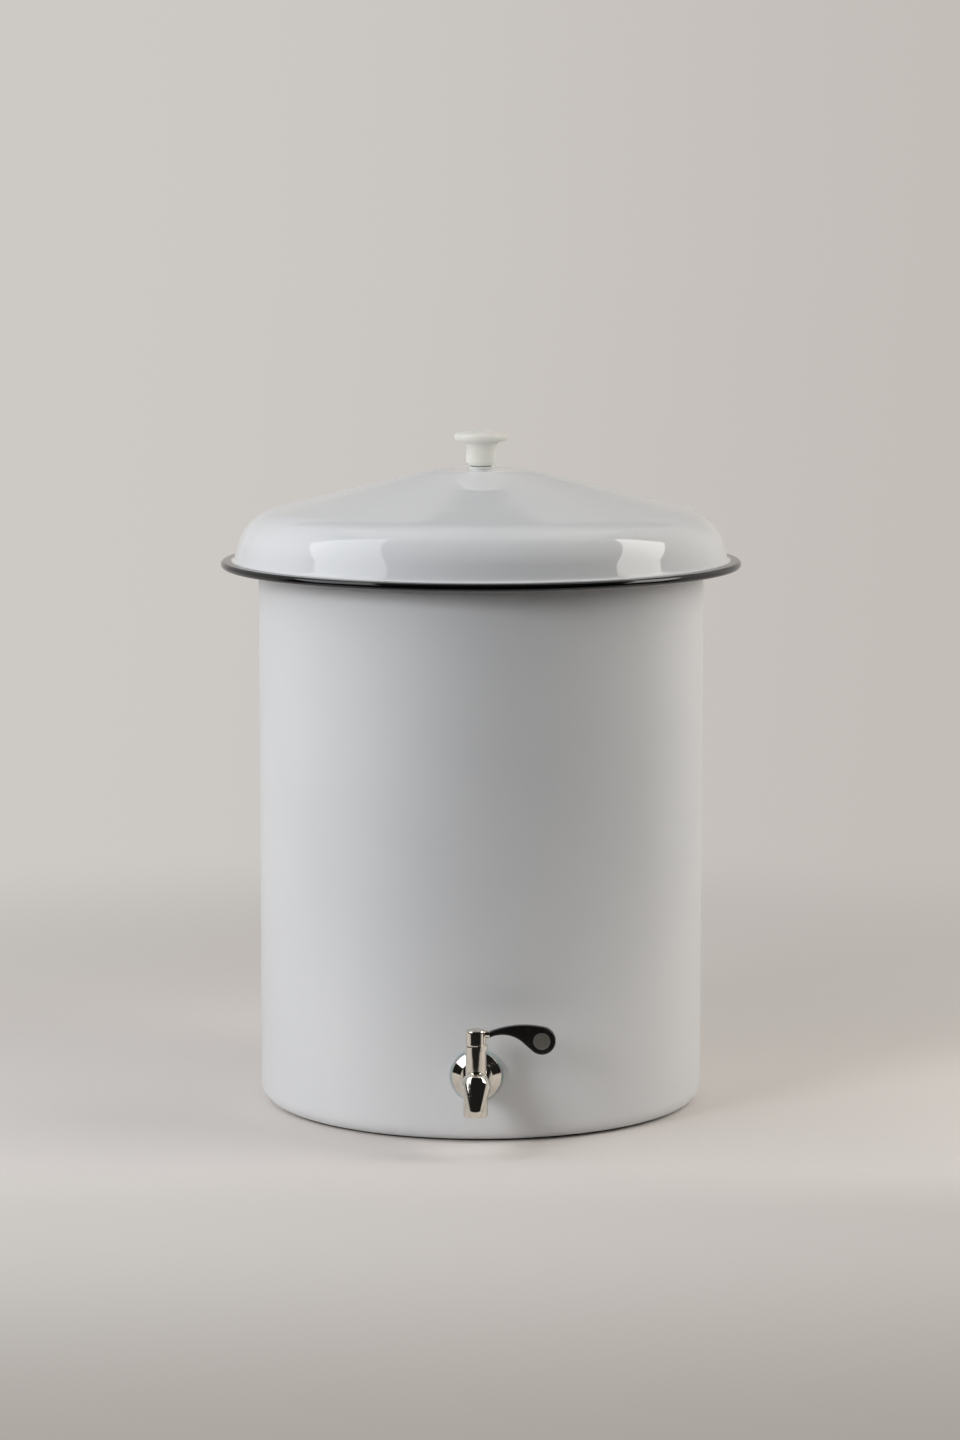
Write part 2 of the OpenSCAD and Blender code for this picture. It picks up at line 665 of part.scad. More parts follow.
module lever_outline() {
    hollow_end = hollow_c + hollow_r * [cos(link_angle), sin(link_angle)];
    paddle_start = paddle_c - paddle_r * [cos(link_angle), sin(link_angle)];
    crest_end = paddle_c + paddle_r * crest_dir;
    top = crest_c.y + crest_r + cut;
    translate(paddle_c) circle(r = paddle_r);
    difference() {
        intersection() {
            polygon([[arm_root_x, hollow_c.y], hollow_c, hollow_end, paddle_start, paddle_c, crest_end,
                     crest_end + cut * crest_dir, [crest_x, top], [arm_root_x, top]]);
            translate(crest_c) circle(r = crest_r);
        }
        translate(hollow_c) circle(r = hollow_r);
    }
}

module handle_lever() {
    color(black) at_valve() difference() {
        translate([0, lever_t / 2, 0]) rotate([90, 0, 0]) linear_extrude(lever_t) lever_outline();
        stud_place() cylinder(d = stud_d + 2 * still_gap, h = stud_l + seat_gap);
        translate([paddle_c.x, -lever_t / 2 + disc_t - disc_proud, paddle_c.y]) rotate([90, 0, 0])
            cylinder(d = disc_d + 2 * still_gap, h = disc_t + cut);
    }
}

module lever_disc() {
    color(steel) at_valve() translate([paddle_c.x, -lever_t / 2 + disc_t - disc_proud, paddle_c.y])
        rotate([90, 0, 0]) cylinder(d = disc_d, h = disc_t);
}

container_shell();
foot_ring();
clay_filter();
lid_shell();
knob_collar();
lid_knob();
knob_insert();
knob_washer();
knob_screw();
tap_body();
tap_flange();
outer_gasket();
inner_gasket();
inner_washer();
tap_nut();
valve_sleeve();
valve_plug();
plug_o_rings();
thrust_washer();
gland_nut();
handle_cap();
cap_grub_screw();
lever_stud();
handle_lever();
lever_disc();
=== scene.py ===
import math

import bmesh
import bpy
import numpy as np
from mathutils import Matrix, Vector


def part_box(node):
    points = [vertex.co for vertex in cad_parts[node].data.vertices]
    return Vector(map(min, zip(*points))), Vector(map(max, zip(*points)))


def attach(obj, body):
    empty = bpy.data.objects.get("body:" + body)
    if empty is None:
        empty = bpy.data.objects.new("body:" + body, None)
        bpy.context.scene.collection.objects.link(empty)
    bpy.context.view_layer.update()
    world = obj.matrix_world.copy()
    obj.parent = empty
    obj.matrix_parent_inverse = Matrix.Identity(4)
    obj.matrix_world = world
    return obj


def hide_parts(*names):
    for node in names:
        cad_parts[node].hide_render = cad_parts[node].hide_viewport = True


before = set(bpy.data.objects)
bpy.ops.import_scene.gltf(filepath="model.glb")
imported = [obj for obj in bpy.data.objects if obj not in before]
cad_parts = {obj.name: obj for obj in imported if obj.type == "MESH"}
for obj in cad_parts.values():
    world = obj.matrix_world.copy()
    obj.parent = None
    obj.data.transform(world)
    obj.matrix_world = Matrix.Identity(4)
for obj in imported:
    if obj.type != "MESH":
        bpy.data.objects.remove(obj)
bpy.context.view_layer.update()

# Camera: a long lens three metres away, a little above the lid and slightly to the object's right. It is
# turned one pixel past the object's axis, and the picture's long side takes the whole sensor.
eye_distance, eye_height = 3.046, 0.668
eye_turn, eye_tilt = math.radians(1.05), math.radians(7.403)
focal_pixels, picture_pixels, sensor_mm = 4300, 1440, 36

lens = bpy.data.cameras.new("long_lens")
lens.sensor_width = sensor_mm
lens.lens = focal_pixels / picture_pixels * sensor_mm
camera = bpy.data.objects.new("camera", lens)
camera.location = (eye_distance * math.sin(eye_turn), -eye_distance * math.cos(eye_turn), eye_height)
camera.rotation_euler = (math.pi / 2 - eye_tilt, 0, eye_turn + 1 / focal_pixels)
bpy.context.scene.collection.objects.link(camera)
bpy.context.scene.camera = camera
bpy.context.scene.view_settings.view_transform = "Standard"


# Studio: an even pale backdrop, a large cool softbox on the left, a smaller warm one on the right and a weak
# one overhead. Two lamps light the front from both sides of the lens, in a room that is dark behind the lens.
class Value:
    """A number that varies over a surface. Arithmetic on it adds Math nodes to its tree."""

    def __init__(self, tree, socket):
        self.tree, self.socket = tree, socket

    def calc(self, operation, a, b):
        return self.tree.node("ShaderNodeMath", {"operation": operation}, {0: a, 1: b})

    def __add__(self, other):
        return self.calc("ADD", self, other)

    def __mul__(self, other):
        return self.calc("MULTIPLY", self, other)

    def __sub__(self, other):
        return self.calc("SUBTRACT", self, other)

    def __rsub__(self, other):
        return self.calc("SUBTRACT", other, self)

    def __truediv__(self, other):
        return self.calc("DIVIDE", self, other)

    def __pow__(self, other):
        return self.calc("POWER", self, other)

    __radd__, __rmul__ = __add__, __mul__

    def most(self, other):
        return self.calc("MAXIMUM", self, other)

    def size(self):
        return self.calc("ABSOLUTE", self, 0)

    def rise(self, low, high):
        """0 below low, 1 above high, and smooth between them; low may be the larger."""
        return self.tree.node("ShaderNodeMapRange", {"interpolation_type": "SMOOTHSTEP"},
                              {0: self, 1: low, 2: high})


class Tree:
    """A node tree, and the one way in which nodes are added to it."""

    def __init__(self, owner):
        owner.use_nodes = True
        self.tree = owner.node_tree

    def node(self, kind, settings={}, values={}, output=0):
        made = self.tree.nodes.new(kind)
        for name, setting in settings.items():
            setattr(made, name, setting)
        for socket, value in values.items():
            self.feed(made, socket, value)
        return Value(self, made.outputs[output])

    def feed(self, node, socket, value):
        if isinstance(value, Value):
            self.tree.links.new(value.socket, node.inputs[socket])
        else:
            node.inputs[socket].default_value = value

    def split(self, vector):
        """The three numbers of a vector."""
        return [self.node("ShaderNodeSeparateXYZ", {}, {0: vector}, axis) for axis in range(3)]

    def pack(self, x, y, z=0):
        return self.node("ShaderNodeCombineXYZ", {}, {0: x, 1: y, 2: z})

    def ray(self, kind):
        """1 for the rays of that kind and 0 for all others."""
        return self.node("ShaderNodeLightPath", output=kind)

    def colours(self, share, first, second):
        """A colour between two, by a share from 0 to 1."""
        return self.node("ShaderNodeMix", {"data_type": "RGBA"}, {0: share, 6: first, 7: second}, 2)


def rgb(red, green, blue):
    return (red, green, blue, 1)


backdrop_left, backdrop_right = rgb(0.612, 0.588, 0.560), rgb(0.546, 0.510, 0.480)
left_wall, right_wall = rgb(0.42, 0.42, 0.42), rgb(0.60, 0.59, 0.57)
room_dark, ceiling_dark = rgb(0.014, 0.0135, 0.013), rgb(0.040, 0.040, 0.042)
backdrop_top = math.sin(math.radians(31))
backdrop_half = math.tan(math.radians(30))

world = bpy.data.worlds.new("studio")
bpy.context.scene.world = world
air = Tree(world)
east, north, up = air.split(air.node("ShaderNodeTexCoord", output="Generated"))
backdrop = air.colours(east.rise(-0.13, 0.13), backdrop_left, backdrop_right)
# The object mirrors more than the camera sees: a backdrop that darkens upwards and ends 31 degrees up and
# 30 degrees to each side, then pale side walls, and the dark room in front.
screen = air.colours(up.rise(0.10, 0.35) * 0.35, backdrop, ceiling_dark)
screen = air.colours(up.rise(backdrop_top - 0.005, backdrop_top + 0.005), screen, ceiling_dark)
side_walls = air.colours(east.rise(-0.1, 0.1), left_wall, right_wall)
room = air.colours(north.rise(-0.05, 0.12), room_dark, side_walls)
beside = (east.size() - north * backdrop_half).rise(-0.02, 0.02)
surround = air.colours(beside, screen, room)
air.feed(air.tree.nodes["Background"], "Color", air.colours(air.ray("Is Camera Ray"), surround, backdrop))


def softbox(name, width, length, radiance, tint, middle, facing, along, mirrored=True):
    """A rectangular lamp round its middle that faces one way and lies along another. The radiance is how
    bright its face is, and mirrored says whether polished pieces mirror it."""
    lamp = bpy.data.lights.new(name, "AREA")
    lamp.shape = "RECTANGLE"
    lamp.size, lamp.size_y = width, length
    lamp.energy = radiance * math.pi * width * length
    lamp.color = tint
    z_axis, y_axis = -Vector(facing).normalized(), Vector(along).normalized()
    made = bpy.data.objects.new(name, lamp)
    made.matrix_world = Matrix((y_axis.cross(z_axis), y_axis, z_axis)).transposed().to_4x4()
    made.location = middle
    made.visible_camera, made.visible_glossy = False, mirrored
    bpy.context.scene.collection.objects.link(made)


softbox("left_softbox", width=0.86, length=1.15, radiance=2.25, tint=(0.98, 1.0, 1.04),
        middle=(-1.008, -0.277, 1.041), facing=(0.431, 0.671, -0.604), along=(0.087, 0.635, 0.767))
softbox("right_softbox", width=0.57, length=0.89, radiance=4.0, tint=(1.04, 1.0, 0.95),
        middle=(1.021, -0.073, 0.865), facing=(-0.516, 0.547, -0.659), along=(-0.234, 0.65, 0.723))
softbox("overhead_softbox", width=2.4, length=1.7, radiance=0.47, tint=(1.03, 1.0, 0.94),
        middle=(0, 0.45, 2.4), facing=(0, 0, -1), along=(0, 1, 0))
softbox("left_fill", width=0.7, length=0.8, radiance=10.8, tint=(1.0, 1.0, 1.01),
        middle=(-1.42, -1.692, 1.03), facing=(0.61, 0.727, -0.314), along=(0.202, 0.24, 0.95), mirrored=False)
softbox("right_fill", width=0.5, length=0.8, radiance=2.2, tint=(1.02, 1.0, 0.97),
        middle=(2.08, -0.62, 1.134), facing=(-0.895, 0.267, -0.359), along=(-0.344, 0.103, 0.933),
        mirrored=False)


# Floor: matt paper that runs out into the backdrop. It is lit round the object and glows in the backdrop's
# colour further out, so that no edge shows. Polished pieces mirror it as far as the table's front and sides.
MM = 0.001
SMOOTH = math.radians(38)


def polar(radius, a, height):
    """Points at the angle a round the height axis: radius cos a, radius sin a, height."""
    return np.stack(np.broadcast_arrays(radius * np.cos(a), radius * np.sin(a), height), -1)


def grid(points, rows=False, columns=True):
    """Faces between the neighbours of a grid of points; rows and columns say which way it joins up."""
    n, m = points.shape[:2]
    number = np.arange(n * m).reshape(n, m)
    number = number if not rows else np.vstack([number, number[:1]])
    number = number if not columns else np.hstack([number, number[:, :1]])
    faces = np.stack([number[:-1, :-1], number[:-1, 1:], number[1:, 1:], number[1:, :-1]], -1)
    return points.reshape(-1, 3), faces.reshape(-1, 4)


def revolve(profile, around=192, rows=False, sweep=None):
    """Carries a profile of (radius, height) round the height axis, or through a sweep between two angles."""
    r, h = np.asarray(profile, float).T[..., None]
    a = np.linspace(0, 2 * np.pi, around, endpoint=False)
    if sweep:
        a = np.radians(np.linspace(*sweep, around))
    return grid(polar(r, a, h), rows, not sweep)


def solid(name, surface, caps=()):
    """A piece with that surface, in millimetres. Doubled points at poles and seams are merged, caps are
    closed as flat faces, and the faces are turned outwards."""
    points, faces = surface
    mesh = bpy.data.meshes.new(name)
    mesh.from_pydata(points * MM, [], [*faces.tolist(), *(list(map(int, cap)) for cap in caps)])
    shell = bmesh.new()
    shell.from_mesh(mesh)
    bmesh.ops.remove_doubles(shell, verts=shell.verts, dist=0.002 * MM)
    bmesh.ops.recalc_face_normals(shell, faces=shell.faces)
    shell.to_mesh(mesh)
    shell.free()
    mesh.shade_smooth()
    mesh.set_sharp_from_angle(angle=SMOOTH)
    piece = bpy.data.objects.new(name, mesh)
    bpy.context.scene.collection.objects.link(piece)
    return piece


class Finish(Tree):
    """A material on the piece's own coordinates, which are metres in the object's frame."""

    def __init__(self, name, constants):
        self.material = bpy.data.materials.new(name)
        super().__init__(self.material)
        self.shader = self.tree.nodes["Principled BSDF"]
        self.at = self.node("ShaderNodeTexCoord", output="Object")
        self.x, self.y, self.z = self.split(self.at)
        self.normal = None
        self.set(**constants)

    def set(self, **values):
        """Feeds the shader's sockets, with _ for each space in their names."""
        for socket, value in values.items():
            self.feed(self.shader, socket.replace("_", " "), value)

    def noise(self, scale, detail=2.0, where=None, roughness=0.5):
        values = {"Vector": where or self.at, "Scale": scale, "Detail": detail, "Roughness": roughness}
        return self.node("ShaderNodeTexNoise", {}, values)

    def cells(self, scale, output="Distance"):
        return self.node("ShaderNodeTexVoronoi", {}, {"Vector": self.at, "Scale": scale}, output)

    def away(self):
        """Distance from the object's upright axis."""
        return (self.x ** 2 + self.y ** 2) ** 0.5

    def bump(self, height, depth):
        """Raises the surface by height times depth, in metres."""
        values = {"Strength": 1.0, "Distance": depth, "Height": height}
        if self.normal:
            values["Normal"] = self.normal
        self.normal = self.node("ShaderNodeBump", {}, values)
        self.set(Normal=self.normal)

    def paint(self, *pieces):
        for piece in pieces:
            piece.data.materials.clear()
            piece.data.materials.append(self.material)


table_front, table_side = -0.415, 0.80
floor = solid("floor", revolve([(r, 0) for r in (0, 400, 800, 1600, 4000, 20000)], 64))
floor.location.z = -0.2 * MM
paper = Finish("seamless_paper", {"Roughness": 0.9, "Specular_IOR_Level": 0.1})
spread = paper.away()
tone = paper.colours(paper.noise(3, 3) * 0.01 + 0.495, rgb(0.78, 0.74, 0.71), rgb(0.84, 0.80, 0.77))
# Behind the object the paper is painted darker, more so up to 0.38 m back: painted shade.
paper.set(Base_Color=paper.colours(paper.y.rise(0, 0.38) * 0.6, tone, rgb(0.68, 0.645, 0.62)))
paper.bump(paper.noise(900), 0.00004)
mirrored = paper.ray("Is Glossy Ray")

# Far out the paper takes the backdrop's colour, and towards the lens that glow is painted darker: painted
# shade where the light falls off.
far = paper.colours((paper.x / (spread + eye_distance)).rise(-0.13, 0.13), backdrop_left, backdrop_right)
painted_front_shade = paper.y.rise(-0.36, -0.90) * (1 - spread.rise(1.2, 3.0)) * 0.52
glow = paper.node("ShaderNodeEmission", {}, {"Color": paper.colours(painted_front_shade, far, rgb(0.25, 0.22, 0.19))})
ends = paper.x.size().rise(table_side - 0.15, table_side + 0.15) * paper.y.rise(0.3, 0) * mirrored
table = paper.y.rise(table_front - 0.045, table_front + 0.045) * (1 - ends)
# Beyond the table's front, and for mirrored rays beyond its sides, the paper is a near-black sheet: painted
# shade for the dark room there.
dark = paper.node("ShaderNodeBsdfDiffuse", {}, {"Color": rgb(0.02, 0.02, 0.02)})
lit = paper.node("ShaderNodeMixShader", {}, {0: table, 1: dark, 2: Value(paper, paper.shader.outputs[0])})
near = (1 - spread.rise(0.35, 1.15)) * paper.y.rise(-0.37, -0.22)
glowing = (1 - near) * paper.ray("Is Camera Ray").most(mirrored * table)
paper.feed(paper.tree.nodes["Material Output"], "Surface",
           paper.node("ShaderNodeMixShader", {}, {0: glowing, 1: lit, 2: glow}))
paper.paint(floor)


# Container: one tall pressing of sheet steel with a small round corner at the bottom and a rim rolled
# outwards over a wire. It is coated inside and out with white vitreous enamel, and the rim with black.
def arc(centre, radius, start, end, steps=12):
    """Points of a circle's arc, centre + radius (cos a, sin a), with a in degrees from start to end."""
    a = np.radians(np.linspace(start, end, steps + 1))
    return np.stack([centre[0] + radius * np.cos(a), centre[1] + radius * np.sin(a)], -1)


def rounded(*corners, steps=6):
    """A line through corners (x, y), where a corner (x, y, radius) is an arc that touches both of its sides.
    One point on each side, a quarter radius before and after the arc, keeps the flat sides' shading flat."""
    at = [np.array(c[:2], float) for c in corners]
    line = [at[0]]
    for before, here, after, corner in zip(at, at[1:], at[2:], corners[1:]):
        if len(corner) < 3:
            line.append(here)
            continue
        radius = corner[2]
        back = (before - here) / np.linalg.norm(before - here)
        on = (after - here) / np.linalg.norm(after - here)
        half = math.acos(np.clip(back @ on, -1, 1)) / 2
        reach = radius / math.tan(half)
        middle = here + (back + on) / np.linalg.norm(back + on) * radius / math.sin(half)
        start, end = here + back * reach - middle, here + on * reach - middle
        share = np.linspace(0, 1, steps + 1)[:, None]
        bend = math.pi - 2 * half
        turned = (np.sin((1 - share) * bend) * start + np.sin(share * bend) * end) / math.sin(bend)
        line += [here + back * (reach + radius / 4), *(middle + turned), here + on * (reach + radius / 4)]
    return np.array([*line, at[-1]])


wall_r = 157.9
container_sheet = 1.2
container_low, container_top = (corner.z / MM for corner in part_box("container_shell"))
corner_r = 10.0
container_bead_r = 2.2
container_black_h = 6.8                              # height of the black band round the rim
shank_hole_r = 8.3
tap_z = 47.5
wall_rows = [33, 58, 110, 180, 250, 320, 372]        # two of them lie under the tap's gasket

wall_in = wall_r - container_sheet
bead_at = (wall_in + container_bead_r, container_top - container_bead_r)
bottom_in = container_low + container_sheet
outside = rounded((0, container_low), (wall_r, container_low, corner_r), (wall_r, wall_rows[0]))
inside = rounded((wall_in, wall_rows[0]), (wall_in, bottom_in, corner_r - container_sheet), (0, bottom_in))
# The rolled rim is a circle that leaves the wall's outside at the angle bead_from.
bead_from = -180 + math.degrees(math.acos((bead_at[0] - wall_r) / container_bead_r))
container = solid("enamelled_container", revolve(np.vstack([
    outside, [(wall_r, z) for z in wall_rows[1:]],
    arc(bead_at, container_bead_r, bead_from, 180, 24),
    [(wall_in, z) for z in wall_rows[:0:-1]], inside]), 384))


def carve(piece, tool, operation="DIFFERENCE"):
    """Takes the tool away from the piece, or joins it on with "UNION", and deletes the tool."""
    step = piece.modifiers.new("carve", "BOOLEAN")
    step.operation, step.solver, step.object = operation, "EXACT", tool
    made = bpy.data.meshes.new_from_object(piece.evaluated_get(bpy.context.evaluated_depsgraph_get()))
    piece.modifiers.clear()
    spent = [piece.data, tool.data]
    piece.data = made
    bpy.data.objects.remove(tool)
    for mesh in spent:
        bpy.data.meshes.remove(mesh)
    made.shade_smooth()
    made.set_sharp_from_angle(angle=SMOOTH)


def on_tap(surface):
    """Turns a surface so that its height runs out of the wall along the tap's shank."""
    points, faces = surface
    x, y, z = points.T
    return np.stack([x, -wall_r - z, tap_z + y], -1), faces


def rod(radius, start, end, around=96):
    """A plain round bar, for cutting holes."""
    return revolve([(0, start), (radius, start), (radius, end), (0, end)], around)


carve(container, solid("hole", on_tap(rod(shank_hole_r, -6, 6, 64))))


def enamel(name, rough, black):
    """Vitreous enamel of that roughness: white with faint clouding, pinholes and a warm fringe, and black
    where black is 1. The mask's middle is the colours' edge, and the fringe lies just outside it."""
    finish = Finish(name, {"IOR": 1.52})
    cloud = finish.noise(7, 4).rise(0.35, 0.7)
    white = finish.colours(cloud, rgb(0.770, 0.785, 0.800), rgb(0.800, 0.812, 0.822))
    seed = finish.node("ShaderNodeSeparateColor", {}, {0: finish.cells(55, "Color")})
    speck = (1 - finish.cells(55).rise(0.012, 0.022)) * seed.rise(0.72, 0.74)
    white = finish.colours(speck * 0.55, white, rgb(0.16, 0.14, 0.12))
    mask = black(finish)
    fringe = mask.rise(0.02, 0.45) * (1 - mask.rise(0.45, 0.55))
    white = finish.colours(fringe * 0.5, white, rgb(0.34, 0.30, 0.26))
    edge = mask.rise(0.42, 0.58)
    ink = finish.colours(finish.noise(300), rgb(0.0015, 0.0015, 0.0018), rgb(0.0035, 0.0035, 0.004))
    finish.set(Base_Color=finish.colours(edge, white, ink))
    wear = finish.noise(26, 4).rise(0.4, 0.75)
    finish.set(Roughness=(wear * 0.3 + 0.85) * rough * (1 - edge) + edge * 0.06)
    finish.bump(finish.noise(14), 0.00012)
    finish.bump(finish.noise(160), 0.000006)
    finish.bump(edge, 0.00006)
    return finish


container_black_z = (container_top - container_black_h) * MM


def container_black(finish):
    """1 in the band round the rim. Its lower edge is a height that wanders with a slow noise."""
    wander = finish.noise(30) * 0.0012
    return (finish.z + wander).rise(container_black_z - 0.0015, container_black_z + 0.0020)


satin_enamel = enamel("satin_enamel", 0.36, container_black)
satin_enamel.paint(container)
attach(container, "container")
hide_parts("container_shell")


# Foot: a flat ring of black rubber, cut from sheet and bonded under the container's bottom just inside its
# round corner. It keeps the enamel off the table and shows as a thin line.
foot_out, foot_width, foot_t, foot_round = 148.2, 14, 0.9, 0.3
foot = solid("rubber_foot", revolve(rounded(
    (foot_out - foot_width / 2, 0), (foot_out, 0, foot_round), (foot_out, foot_t, foot_round),
    (foot_out - foot_width, foot_t, foot_round), (foot_out - foot_width, 0, foot_round),
    (foot_out - foot_width / 2, 0)), 256))
foot_rubber = Finish("foot_rubber", {"Specular_IOR_Level": 0.35})
dust = foot_rubber.noise(45, 5).rise(0.45, 0.8)
foot_rubber.set(Base_Color=foot_rubber.colours(dust * 0.35, rgb(0.012, 0.012, 0.013),
                                               rgb(0.060, 0.058, 0.055)),
                Roughness=dust * 0.2 + 0.55)
foot_rubber.bump(foot_rubber.noise(1400), 0.00003)
foot_rubber.paint(foot)
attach(foot, "container")
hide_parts("foot_ring")


# Clay pot: pressed from clay mixed with fine sawdust, then fired, which leaves it porous. Its thick rim
# hangs on the container's rolled rim. The press leaves faint rings, and use leaves pale lime near the rim.
pot_low, pot_high = (corner.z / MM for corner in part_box("clay_filter"))
pot_rim_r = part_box("clay_filter")[1].x / MM
pot_rim_z = container_top + 0.3
pot_top_r, pot_low_r = 148.0, 122.0
pot_wall, pot_floor = 15.0, 19.0
pot_corner, pot_round, pot_fill = 26.0, 4.0, 6.0
pot_lean = (pot_top_r - pot_low_r) / (pot_rim_z - pot_low)
pot = solid("clay_pot", revolve(rounded(
    (0, pot_low), (pot_low_r, pot_low, pot_corner), (pot_top_r, pot_rim_z, 1.0),
    (pot_rim_r, pot_rim_z, pot_round), (pot_rim_r, pot_high, pot_round),
    (pot_top_r - pot_wall, pot_high, pot_round), (pot_top_r - pot_wall, pot_rim_z, 6.0),
    (pot_low_r - pot_wall + pot_floor * pot_lean, pot_low + pot_floor, pot_corner - pot_wall + pot_fill),
    (0, pot_low + pot_floor), steps=10), 256))
clay = Finish("fired_clay", {"Specular_IOR_Level": 0.25})
body_tone = clay.noise(11, 5, roughness=0.6)
grain = clay.noise(420, 4, roughness=0.65)
rings = clay.noise(1, 3, clay.pack(clay.away() * 90, clay.z * 260, clay.noise(3) * 2))
pores = 1 - clay.cells(520).rise(0.10, 0.28)
lime_reach = 19.0 * MM
lime = (clay.z + clay.noise(25, 4) * 0.030 - pot_high * MM).rise(-lime_reach, lime_reach)
lime = lime * clay.noise(60, 4).rise(0.42, 0.62)
shade = clay.colours(body_tone, rgb(0.430, 0.190, 0.105), rgb(0.600, 0.300, 0.180))
shade = clay.colours(grain.rise(0.55, 0.75) * 0.45, shade, rgb(0.700, 0.420, 0.280))
shade = clay.colours(pores * 0.6, shade, rgb(0.180, 0.080, 0.050))
clay.set(Base_Color=clay.colours(lime * 0.45, shade, rgb(0.780, 0.720, 0.650)),
         Roughness=grain * 0.10 + 0.80)
clay.bump(rings, 0.00035)
clay.bump(grain, 0.00018)
clay.bump(1 - pores, 0.00025)
clay.paint(pot)
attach(pot, "filter_pot")
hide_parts("clay_filter")


# Lid: one spun sheet of steel with a flat crown, a shallow cone, a round shoulder and a leaning skirt that
# flares into a ledge with a rolled rim. White enamel all over, black from the ledge out. The crown is holed.
lid_bead_r, lid_bead_at = 2.6, 182.2
lid_sheet, lid_h = 1.2, 66.8
cone, lean = 13.6, 14.5                              # degrees: the cone from level, the skirt from upright
skirt_r, shoulder_r, flare_r = 175.5, 36.0, 3.0
crown_in, crown_r = 33.6, 60.0
knob_hole_r = 2.8
lid_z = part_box("lid_shell")[0].z / MM + lid_bead_r

# The cone and the skirt are straight and would meet at (meet_r, meet_z). The shoulder is an arc that touches
# both; the crown's edge and the flare are arcs that touch the cone and the skirt at their other ends.
cone_tan, lean_tan = math.tan(math.radians(cone)), math.tan(math.radians(lean))
cone_rise = lid_h + crown_in * cone_tan
meet_r = (skirt_r - (cone_rise - lid_bead_r) * lean_tan) / (1 - cone_tan * lean_tan)
meet_z = cone_rise - meet_r * cone_tan
run = shoulder_r * math.tan(math.radians(90 - lean - cone) / 2)
cone_cos, cone_sin = math.cos(math.radians(cone)), math.sin(math.radians(cone))
shoulder_at = (meet_r - run * cone_cos - shoulder_r * cone_sin,
               meet_z + run * cone_sin - shoulder_r * cone_cos)
crown_at = (crown_in - crown_r * math.tan(math.radians(cone / 2)), lid_h - crown_r)
flare_at = (skirt_r + flare_r * math.tan(math.radians(90 - lean) / 2), lid_bead_r + flare_r)


def lid_line(depth, shoulder_steps):
    """The lid's surface from the knob's hole to the ledge, moved in by depth."""
    cone_top = arc(crown_at, crown_r - depth, 90, 90 - cone, 10)
    shoulder = arc(shoulder_at, shoulder_r - depth, 90 - cone, lean, shoulder_steps)
    flare = arc(flare_at, flare_r + depth, 180 + lean, 270, 10)
    cone_rows = np.linspace(cone_top[-1], shoulder[0], 14)[1:-1]
    skirt_rows = np.linspace(shoulder[-1], flare[0], 6)[1:-1]
    return np.vstack([[(knob_hole_r, lid_h - depth)], cone_top, cone_rows, shoulder, skirt_rows, flare])


# The rolled rim is a circle that ends at the angle bead_to, where it meets the ledge's underside.
bead_to = -180 - math.degrees(math.asin((lid_bead_r - lid_sheet) / lid_bead_r))
lid_profile = np.vstack([lid_line(0, 32), arc((lid_bead_at, 0), lid_bead_r, 90, bead_to, 32),
                         lid_line(lid_sheet, 24)[::-1]]) + (0, lid_z)
lid = solid("enamelled_lid", revolve(lid_profile, 384, rows=True))


def lid_black(finish):
    """1 from the ledge out. Its inner edge is a radius that wanders with a slow noise."""
    wander = finish.noise(24) * 0.0006
    ledge_start = flare_at[0] * MM - 0.0004
    return (finish.away() + wander).rise(ledge_start - 0.0007, ledge_start + 0.0013)


gloss_enamel = enamel("gloss_enamel", 0.014, lid_black)
reach = gloss_enamel.away()
spun = gloss_enamel.noise(1, 2, gloss_enamel.pack(reach * 170, gloss_enamel.noise(6) * 3, gloss_enamel.x * 6))
gloss_enamel.bump(spun * (1 - reach.rise(0.120, 0.150)) * reach.rise(0.018, 0.035), 0.00006)
gloss_enamel.paint(lid)
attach(lid, "lid")
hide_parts("lid_shell")


# Collar: a small washer turned from white nylon. The knob's screw holds it on the crown, and it keeps the
# knob's foot off the enamel. Its upper edge is painted dark: painted shade under the knob.
collar_low, collar_high = (corner.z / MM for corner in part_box("knob_collar"))
collar_r, collar_bore, collar_round = 7.6, 2.8, 0.35
collar_shade = 0.6                                   # height of the dark line under the knob


def flat_ring(bore, outer, low, high, low_round, high_round):
    """The section of a flat ring. Its outer edges are rounded as given and its bore's edges by 0.1 mm."""
    middle = (low + high) / 2
    return rounded((bore, middle), (bore, low, 0.1), (outer, low, low_round), (outer, high, high_round),
                   (bore, high, 0.1), (bore, middle))


collar = solid("nylon_collar", revolve(
    flat_ring(collar_bore, collar_r, collar_low, collar_high, collar_round, collar_round), 96))
nylon = Finish("white_nylon", {"Roughness": 0.38, "Subsurface_Weight": 0.1, "Subsurface_Scale": 0.002})
# Painted shade: a dark band along the collar's upper edge, where the knob shades it.
painted_knob_shade = nylon.z.rise((collar_high - collar_shade - collar_round) * MM, (collar_high - collar_shade) * MM)
tone = nylon.colours(nylon.noise(160, 3), rgb(0.78, 0.78, 0.76), rgb(0.83, 0.83, 0.81))
nylon.set(Base_Color=nylon.colours(painted_knob_shade * 0.9, tone, rgb(0.10, 0.09, 0.075)))
nylon.bump(nylon.noise(1, 2, nylon.pack(nylon.z * 6000, nylon.away() * 2000)), 0.00001)
nylon.paint(collar)
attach(collar, "lid")
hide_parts("knob_collar")


